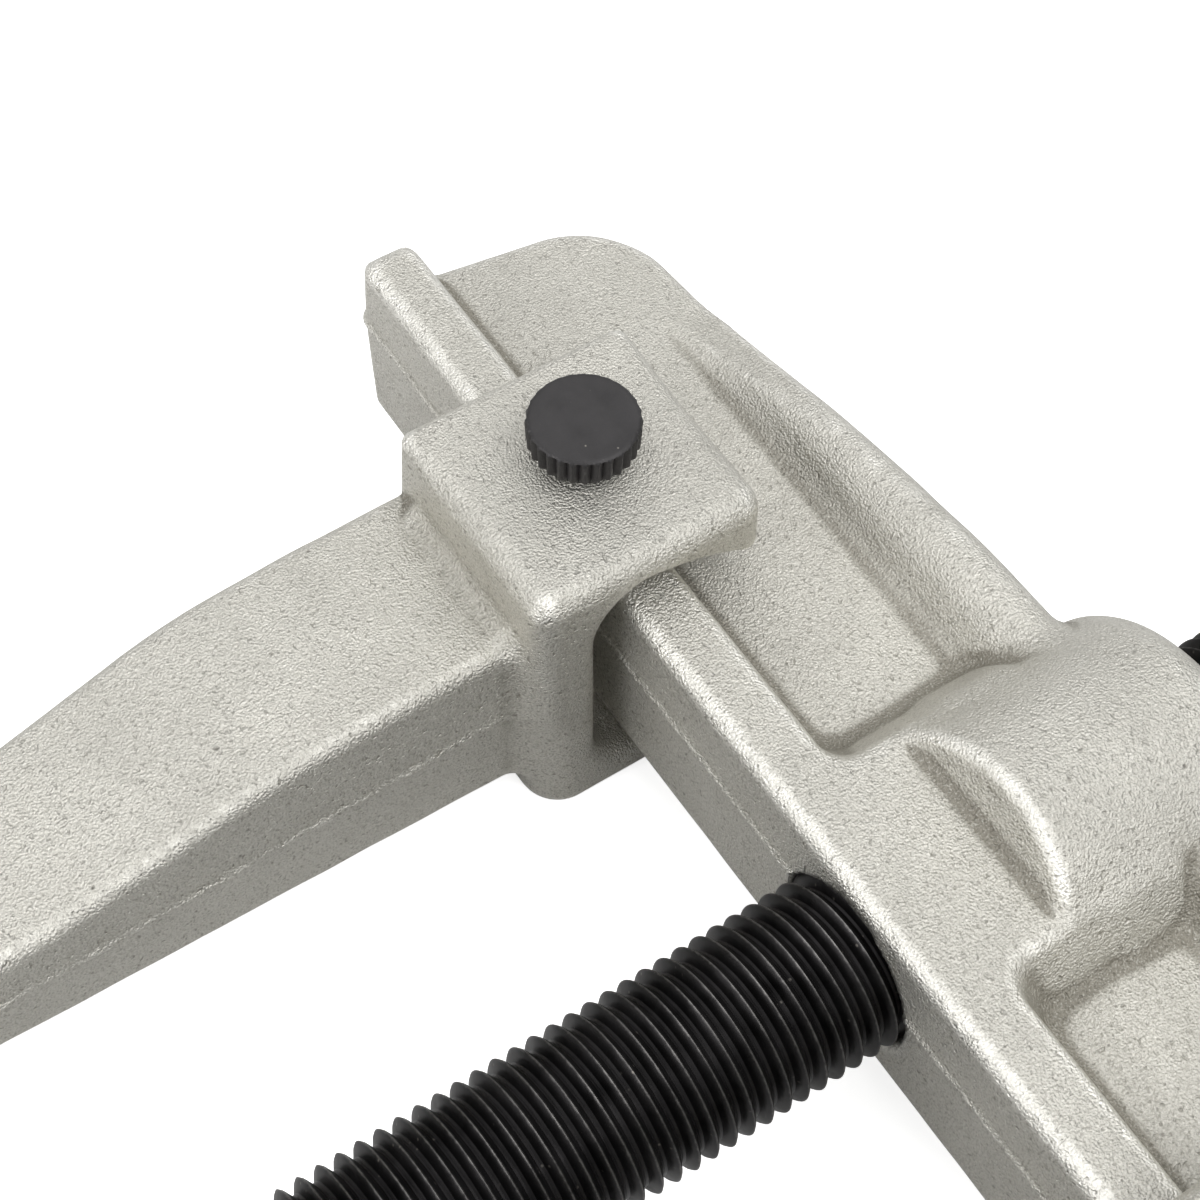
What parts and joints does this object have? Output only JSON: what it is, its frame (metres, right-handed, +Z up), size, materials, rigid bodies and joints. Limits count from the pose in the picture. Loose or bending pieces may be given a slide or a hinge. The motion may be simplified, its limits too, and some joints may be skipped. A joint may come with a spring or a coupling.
{
  "type": "gear puller",
  "caption": "Two-jaw gear puller: forged I-section crossbeam, screw-clamped sliding jaws with inward hooks, and a black threaded forcing spindle with a hexagon drive and loose centring tip.",
  "frame": {"origin": "middle of the footprint of the puller lying flat on its lower jaw cheeks, with both jaws and the spindle at rest", "axes": "+X along the crossbeam towards the right jaw, +Y along the spindle from the work to the drive hexagon, +Z up"},
  "size_m": [0.181, 0.2036, 0.0424],
  "materials": {
    "forged_nickel": "shot-blasted, matt nickel plated",
    "black_oxide": "black oxide, oiled",
    "black_screw": "black oxide, matt",
    "bright_steel": "turned and hardened"
  },
  "bodies": {
    "beam": {"crossbeam": "forged_nickel"},
    "tip": {"centring_tip": "bright_steel"},
    "spindle": {"spindle": "black_oxide", "thrust_ball": "bright_steel", "tip_retaining_ring": "bright_steel"},
    "jaw_left": {"jaw_left": "forged_nickel"},
    "jaw_right": {"jaw_right": "forged_nickel"},
    "screw_left": {"thumb_screw_left": "black_screw"},
    "screw_right": {"thumb_screw_right": "black_screw"}
  },
  "joints": [
    {"name": "spindle_feed", "type": "slide", "parent": "beam", "child": "tip", "axis": [0, -1, 0], "range_m": [-0.068, 0.026]},
    {"name": "spindle_turn", "type": "hinge", "parent": "tip", "child": "spindle", "pos_m": [0, 0, 0.0185], "axis": [0, -1, 0], "range_deg": [-12241, 4681]},
    {"name": "jaw_left_slide", "type": "slide", "parent": "beam", "child": "jaw_left", "axis": [-1, 0, 0], "range_m": [-0.021, 0.025]},
    {"name": "jaw_right_slide", "type": "slide", "parent": "beam", "child": "jaw_right", "axis": [1, 0, 0], "range_m": [-0.021, 0.025]},
    {"name": "screw_left_turn", "type": "hinge", "parent": "jaw_left", "child": "screw_left", "pos_m": [-0.0512, 0.01395, 0.0185], "axis": [0, 0, 1], "range_deg": [0, 1440]},
    {"name": "screw_right_turn", "type": "hinge", "parent": "jaw_right", "child": "screw_right", "pos_m": [0.0512, 0.01395, 0.0185], "axis": [0, 0, 1], "range_deg": [0, 1440]}
  ],
  "couplings": [
    {"joint": "spindle_turn", "follows": "spindle_feed", "rad_per_m": 3141.6}
  ]
}
